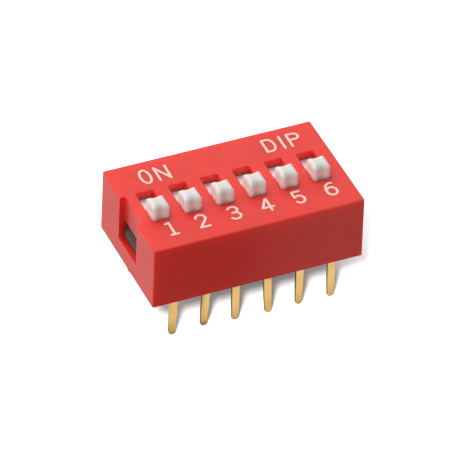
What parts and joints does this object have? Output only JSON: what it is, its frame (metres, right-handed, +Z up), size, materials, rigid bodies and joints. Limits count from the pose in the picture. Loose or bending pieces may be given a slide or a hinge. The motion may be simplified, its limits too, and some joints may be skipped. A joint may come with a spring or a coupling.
{
  "type": "dip switch",
  "caption": "Slide-type dual in-line switch: red moulded housing, white grooved slides that move between OFF and ON, black base and two rows of gold pins.",
  "frame": {"origin": "middle of the housing's footprint, on the plane that sits on the circuit board", "axes": "+Z up from the board, +X along the row from switch 1 to the last, +Y from the number side towards the ON side"},
  "size_m": [0.0166, 0.0098, 0.0104],
  "materials": {
    "red_plastic": "satin moulded",
    "black_plastic": "matt moulded",
    "white_plastic": "satin moulded",
    "gold_pin": "thin gold plating over stamped brass",
    "gold_spring": "gold-plated spring strip"
  },
  "bodies": {
    "housing": {"cover": "red_plastic", "base": "black_plastic", "terminal_front_1": "gold_pin", "terminal_front_2": "gold_pin", "terminal_front_3": "gold_pin", "terminal_front_4": "gold_pin", "terminal_front_5": "gold_pin", "terminal_front_6": "gold_pin", "terminal_back_1": "gold_pin", "terminal_back_2": "gold_pin", "terminal_back_3": "gold_pin", "terminal_back_4": "gold_pin", "terminal_back_5": "gold_pin", "terminal_back_6": "gold_pin"},
    "slider_1": {"actuator_1": "white_plastic", "contact_1": "gold_spring"},
    "slider_2": {"actuator_2": "white_plastic", "contact_2": "gold_spring"},
    "slider_3": {"actuator_3": "white_plastic", "contact_3": "gold_spring"},
    "slider_4": {"actuator_4": "white_plastic", "contact_4": "gold_spring"},
    "slider_5": {"actuator_5": "white_plastic", "contact_5": "gold_spring"},
    "slider_6": {"actuator_6": "white_plastic", "contact_6": "gold_spring"}
  },
  "joints": [
    {"name": "switch_1", "type": "slide", "parent": "housing", "child": "slider_1", "axis": [0, 1, 0], "range_m": [0, 0.00175]},
    {"name": "switch_2", "type": "slide", "parent": "housing", "child": "slider_2", "axis": [0, 1, 0], "range_m": [0, 0.00175]},
    {"name": "switch_3", "type": "slide", "parent": "housing", "child": "slider_3", "axis": [0, 1, 0], "range_m": [0, 0.00175]},
    {"name": "switch_4", "type": "slide", "parent": "housing", "child": "slider_4", "axis": [0, 1, 0], "range_m": [0, 0.00175]},
    {"name": "switch_5", "type": "slide", "parent": "housing", "child": "slider_5", "axis": [0, 1, 0], "range_m": [0, 0.00175]},
    {"name": "switch_6", "type": "slide", "parent": "housing", "child": "slider_6", "axis": [0, 1, 0], "range_m": [0, 0.00175]}
  ]
}
